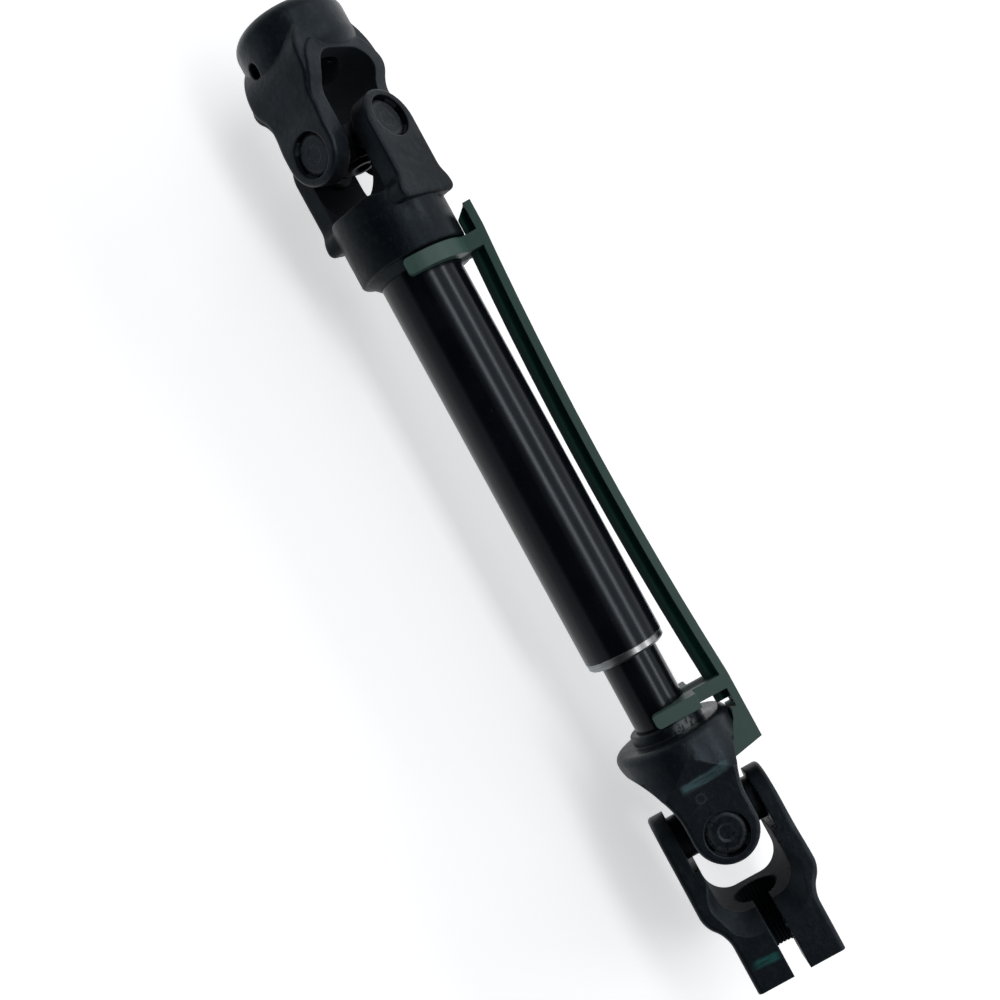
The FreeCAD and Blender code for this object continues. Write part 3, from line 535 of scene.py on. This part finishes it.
def dress_yokes():
    upper = joints["upper_yoke_on_cross"]
    tube = joints["upper_cross_on_tube"]
    lower = joints["lower_cross_on_shaft"]
    clamp = joints["clamp_yoke_on_cross"]
    # Shares below 1.0 paint shade: one coat drawn darker on the yokes that get less light
    dress("upper_yoke", forged_finish(
        "upper yoke coat", share=1.0, gloss=0.23,
        throat=Throat(upper, depth=-31.0, half_width=16.4),
    ))
    dress("tube_yoke", forged_finish(
        "tube yoke coat", share=0.8, gloss=0.15,
        throat=Throat(tube, depth=23.0, half_width=14.0),
    ))
    dress("lower_shaft_yoke", forged_finish(
        "shaft yoke coat", share=0.75, gloss=0.23,
        throat=Throat(lower, depth=-26.0, half_width=19.0),
        stroke=ARM_STROKE, ring=STAMPED_RING, rub=RUBBED_SPOT,
    ))
    dress("clamp_yoke", forged_finish(
        "clamp yoke coat", share=0.75, gloss=0.23,
        throat=Throat(clamp, depth=29.8, half_width=13.2),
        stroke=BLOCK_STROKE, bore=SERRATED_BORE,
    ))

    rubber = rubber_finish("seal rubber")
    ground = steel_finish("ground needles", GROUND_DARK, GROUND_LIGHT, 0.16, 0.30)
    cups = {
        "upper_yoke": (upper, 0.24), "tube_yoke": (tube, 0.13),
        "lower_shaft_yoke": (lower, 0.24), "clamp_yoke": (clamp, 0.24),
    }
    for yoke, (joint, gloss) in cups.items():
        cup = cup_finish(f"{yoke} cup", gloss, joint)
        for side in "ab":
            dress(f"{yoke}_cup_{side}", cup)
            dress(f"{yoke}_seal_{side}", rubber)
        dress(f"{yoke}_needles", ground)


def dress_shaft():
    cross = steel_finish("oiled cross", OILED_DARK, OILED_LIGHT, 0.38, 0.60)
    dress("upper_cross", cross)
    dress("lower_cross", cross)
    dress("outer_tube", tube_finish("tube paint", (14.0, 1300.0, 1300.0), TUBE_END - TUBE_BAND))
    dress("inner_shaft", tube_finish("shaft coat", (20.0, 1500.0, 1500.0)))
    dress("spline_sleeve", moulded_finish(
        "sleeve nylon", NYLON_DARK, NYLON_LIGHT, NYLON_SCUFF, rough_low=0.38
    ))
    dress("retaining_clip", moulded_finish(
        "clip plastic", CLIP_DARK, CLIP_LIGHT, CLIP_SCUFF, rough_low=0.36, recess=clip_recess
    ))


# Surroundings


def make_floor():
    """A pale floor with the object's shadow, white to the camera and in reflections."""
    height = cad_bounds[0][2] - FLOOR_GAP
    bpy.ops.mesh.primitive_plane_add(size=FLOOR_SIZE, location=(*FLOOR_CENTRE, height))
    floor = bpy.context.object
    floor.name = "floor"
    material = bpy.data.materials.new("pale floor")
    material.use_nodes = True
    tree = material.node_tree
    tree.nodes.clear()
    diffuse = add(tree, "ShaderNodeBsdfDiffuse", {"Color": FLOOR_GREY})
    path = add(tree, "ShaderNodeLightPath").outputs
    seen = larger(tree, path["Is Camera Ray"], path["Is Glossy Ray"], path["Is Transmission Ray"])
    strength = product(tree, seen, FLOOR_GLOW)
    glow = add(tree, "ShaderNodeEmission", {"Color": (1.0, 1.0, 1.0, 1.0), "Strength": strength})
    both = add(tree, "ShaderNodeAddShader", {0: diffuse.outputs[0], 1: glow.outputs[0]})
    add(tree, "ShaderNodeOutputMaterial", {"Surface": both.outputs[0]})
    floor.data.materials.append(material)


def make_world():
    """White walls and a dark gap overhead along the shaft, wider towards -Y."""
    world = bpy.data.worlds.new("studio")
    bpy.context.scene.world = world
    world.use_nodes = True
    tree = world.node_tree
    tree.nodes.clear()
    xyz = split(tree, add(tree, "ShaderNodeTexCoord").outputs["Generated"])
    lean = maths(tree, "DIVIDE", xyz["Y"], larger(tree, xyz["Z"], LEAST_Z))
    near_side = product(tree, step_up(tree, lean, *GAP_NEAR), WALL_NEAR)
    far_side = product(tree, inverse(tree, step_up(tree, lean, *GAP_FAR)), WALL_FAR)
    low = product(tree, inverse(tree, step_up(tree, xyz["Z"], *HORIZON)), WALL_LOW)
    lit = larger(tree, near_side, far_side, low)
    colour = blend_colour(tree, lit, GAP_DARK, WALL_WHITE)
    background = add(tree, "ShaderNodeBackground", {"Color": colour, "Strength": 1.0})
    add(tree, "ShaderNodeOutputWorld", {"Surface": background.outputs[0]})


def strip_light(name, angle, width, power):
    """A softbox along the shaft, at angle degrees from straight above towards +Y."""
    lamp = bpy.data.lights.new(name, "AREA")
    lamp.shape = "RECTANGLE"
    lamp.size = STRIP_LENGTH
    lamp.size_y = width
    lamp.energy = power
    light = bpy.data.objects.new(name, lamp)
    turn = math.radians(angle)
    away = Vector((0.0, math.sin(turn), math.cos(turn)))
    rotation = Matrix((ALONG, away.cross(ALONG), away)).transposed()
    centre = STRIP_CENTRE + away * STRIP_DISTANCE
    light.matrix_world = Matrix.Translation(centre) @ rotation.to_4x4()
    bpy.context.scene.collection.objects.link(light)


def make_camera():
    data = bpy.data.cameras.new("camera")
    data.lens = LENS
    data.sensor_width = SENSOR
    data.clip_start = 0.01
    camera = bpy.data.objects.new("camera", data)
    turn = Matrix.Rotation(math.radians(CAMERA_TURN), 4, "Z")
    camera.matrix_world = Matrix.Translation(CAMERA_PLACE) @ turn
    bpy.context.scene.collection.objects.link(camera)
    bpy.context.scene.camera = camera


def main():
    bpy.context.scene.view_settings.view_transform = "Standard"
    make_camera()
    dress_yokes()
    dress_shaft()
    make_floor()
    make_world()
    strip_light("key strip", angle=27.5, width=0.19, power=5.4)
    strip_light("side strip", angle=63.0, width=0.17, power=5.0)


main()
